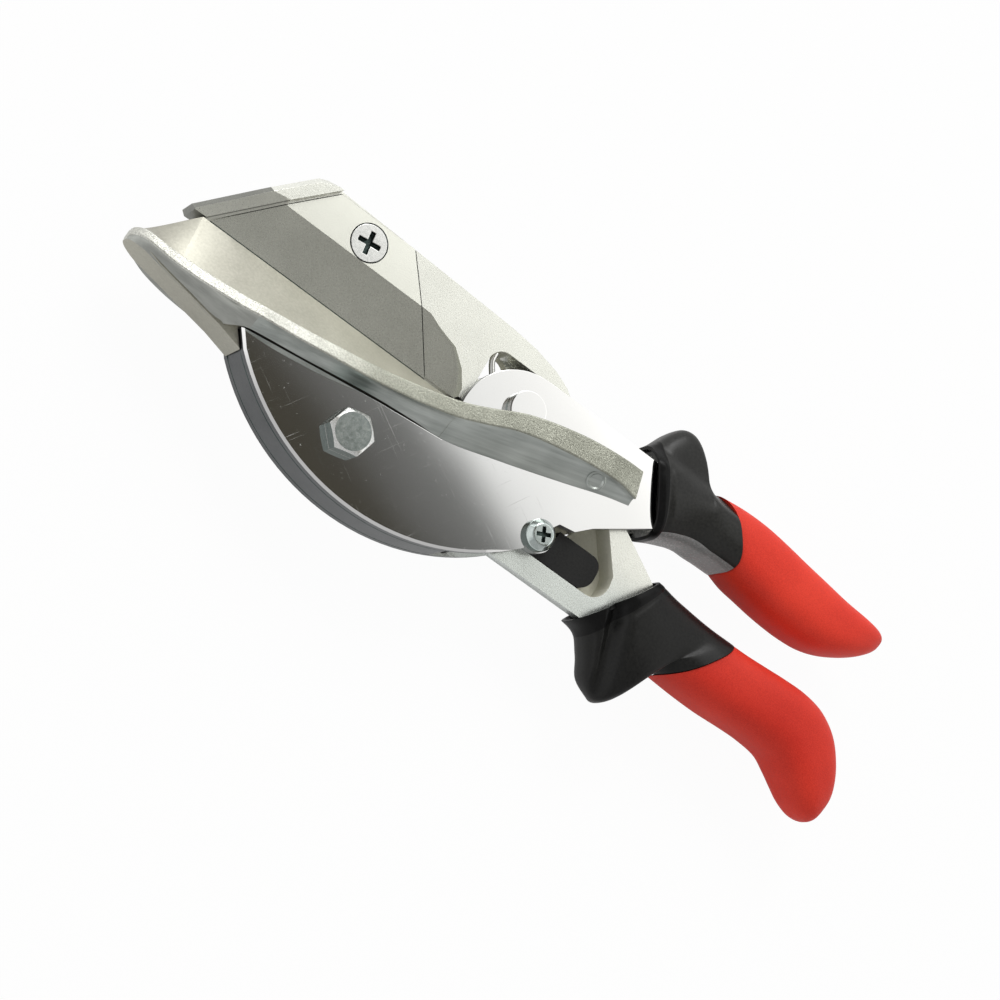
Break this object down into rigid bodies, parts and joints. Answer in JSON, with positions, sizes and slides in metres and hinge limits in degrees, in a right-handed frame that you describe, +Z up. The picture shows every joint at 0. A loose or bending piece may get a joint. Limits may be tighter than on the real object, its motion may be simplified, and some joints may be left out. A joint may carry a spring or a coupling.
{
  "type": "mitre shears",
  "caption": "Hand mitre shears with a straight blade closing on a boat-shaped table with sloping rims, chromed side plates, a sliding lock and two-tone grips.",
  "frame": {"origin": "centre of the bounding box at its lowest level, with the shears lying flat on the far side", "axes": "+X from the nose of the table to the grips, +Y from the lower grip to the back of the blade, +Z up through the side that carries the blade screw"},
  "size_m": [0.2206, 0.0706, 0.0296],
  "materials": {
    "plate": "mirror",
    "casting": "satin cast, bright rim",
    "insert": "matte",
    "bolt": "bluish zinc",
    "screw": "white zinc",
    "steel": "plain",
    "collar": "satin black",
    "sleeve": "matte red, fine grain",
    "lever": "granular zinc",
    "bush": "satin",
    "blade": "satin ground",
    "wire": "bright",
    "slider": "matte black"
  },
  "bodies": {
    "frame": {"near_side_plate": "plate", "far_side_plate": "plate", "mitre_table": "casting", "anvil_insert": "insert", "table_bolt": "bolt", "table_nut": "bolt", "pivot_bolt": "screw", "pivot_nut": "bolt", "pivot_washers": "bolt", "lock_screw": "screw", "lock_nut": "bolt", "upper_spacer": "steel", "tang_rivets": "steel", "upper_collar": "collar", "upper_grip": "sleeve"},
    "lever": {"blade_lever": "lever", "pivot_bush": "bush", "blade": "blade", "blade_screw": "screw", "opening_spring": "wire", "lower_pin": "steel", "lower_collar": "collar", "lower_grip": "sleeve"},
    "lock": {"lock_slider": "slider"}
  },
  "joints": [
    {"name": "jaw_pivot", "type": "hinge", "parent": "frame", "child": "lever", "pos_m": [-0.01095, 0.01135, 0.0148], "axis": [0, 0, -1], "range_deg": [0, 25]},
    {"name": "lock_slide", "type": "slide", "parent": "lever", "child": "lock", "axis": [1, 0, 0], "range_m": [0, 0.004]}
  ],
  "couplings": [
    {"joint": "lock_slide", "follows": "jaw_pivot", "m_per_rad": 0.00916}
  ]
}
